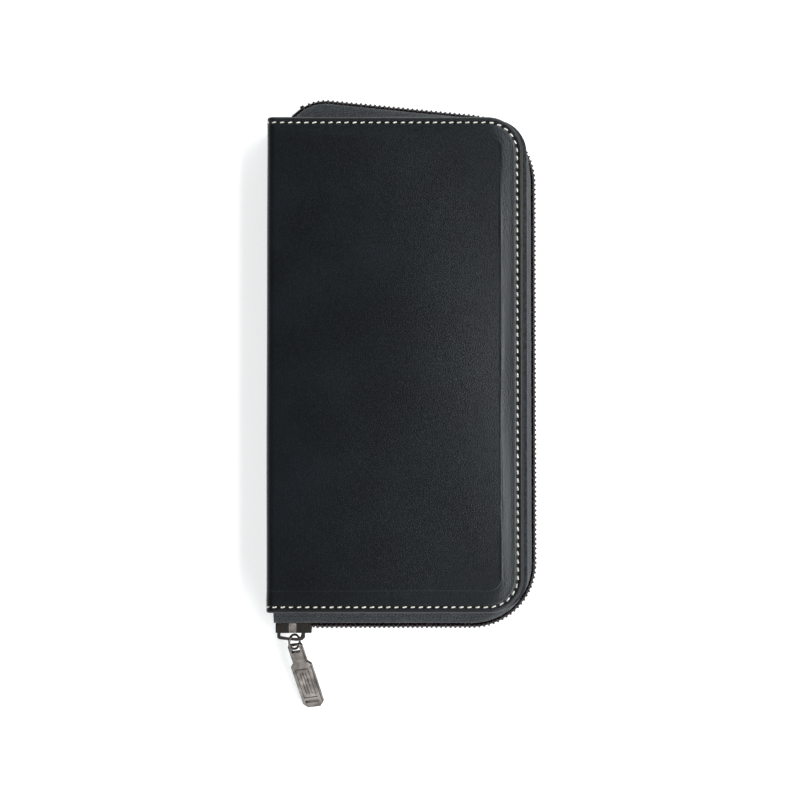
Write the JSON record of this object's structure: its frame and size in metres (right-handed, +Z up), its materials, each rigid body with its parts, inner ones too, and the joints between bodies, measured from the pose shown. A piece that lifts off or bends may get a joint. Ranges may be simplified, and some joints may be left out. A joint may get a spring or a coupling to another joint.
{
  "type": "fountain pen case",
  "caption": "Slim zip-around leather case for fountain pens, with contrast stitching, a coil zip on three sides, a ring-hung metal pull and elastic pen loops inside.",
  "frame": {"origin": "centre of the back cover's outer face, which the closed case lies on", "axes": "+Z up through the case's thickness to the front cover, +Y along the pens, +X from the spine to the free edge"},
  "size_m": [0.0913, 0.2073, 0.0256],
  "materials": {
    "black_leather": "smooth semi-matte",
    "stiff_board": "matte",
    "spine_stiffener": "matte",
    "lining_cloth": "fine woven",
    "cream_thread": "twisted polyester thread",
    "zip_tape": "woven zip tape",
    "nylon_coil": "satin nylon",
    "inner_leather": "smooth matte",
    "elastic_webbing": "ribbed elastic",
    "gunmetal": "antique nickel plate"
  },
  "bodies": {
    "back": {"back_cover_leather": "black_leather", "back_cover_board": "stiff_board", "back_lining": "lining_cloth", "back_stitching": "cream_thread", "back_zip_tape": "zip_tape", "back_zip_coil": "nylon_coil", "back_end_stop": "nylon_coil", "pen_panel": "inner_leather", "upper_pen_band": "elastic_webbing", "lower_pen_band": "elastic_webbing"},
    "spine": {"spine_leather": "black_leather", "spine_strip": "spine_stiffener", "spine_lining": "lining_cloth", "spine_stitching": "cream_thread"},
    "front": {"front_cover_leather": "black_leather", "front_cover_board": "stiff_board", "front_lining": "lining_cloth", "front_stitching": "cream_thread", "front_zip_tape": "zip_tape", "front_zip_coil": "nylon_coil", "front_end_stop": "nylon_coil", "front_slip_pocket": "inner_leather", "pocket_binding": "inner_leather"},
    "slider": {"slider_body": "gunmetal", "slider_bail": "gunmetal"},
    "link": {"pull_link": "gunmetal"},
    "pull": {"pull_tab": "gunmetal"}
  },
  "joints": [
    {"name": "spine_fold", "type": "hinge", "parent": "back", "child": "spine", "pos_m": [-0.044, 0, 0], "axis": [0, -1, 0], "range_deg": [0, 90]},
    {"name": "cover_fold", "type": "hinge", "parent": "spine", "child": "front", "pos_m": [-0.044, 0, 0.0256], "axis": [0, -1, 0], "range_deg": [0, 90]},
    {"name": "slider_travel", "type": "slide", "parent": "back", "child": "slider", "axis": [1, 0, 0], "range_m": [0, 0.052]},
    {"name": "link_swing", "type": "hinge", "parent": "slider", "child": "link", "pos_m": [-0.0348, -0.09225, 0.0128], "axis": [-1, 0, 0], "range_deg": [-25, 35]},
    {"name": "pull_swing", "type": "hinge", "parent": "link", "child": "pull", "pos_m": [-0.0348, -0.094, 0.0128], "axis": [-0.9393, -0.1417, -0.3125], "range_deg": [-15, 60]}
  ],
  "couplings": [
    {"joint": "cover_fold", "follows": "spine_fold", "ratio": 1}
  ]
}
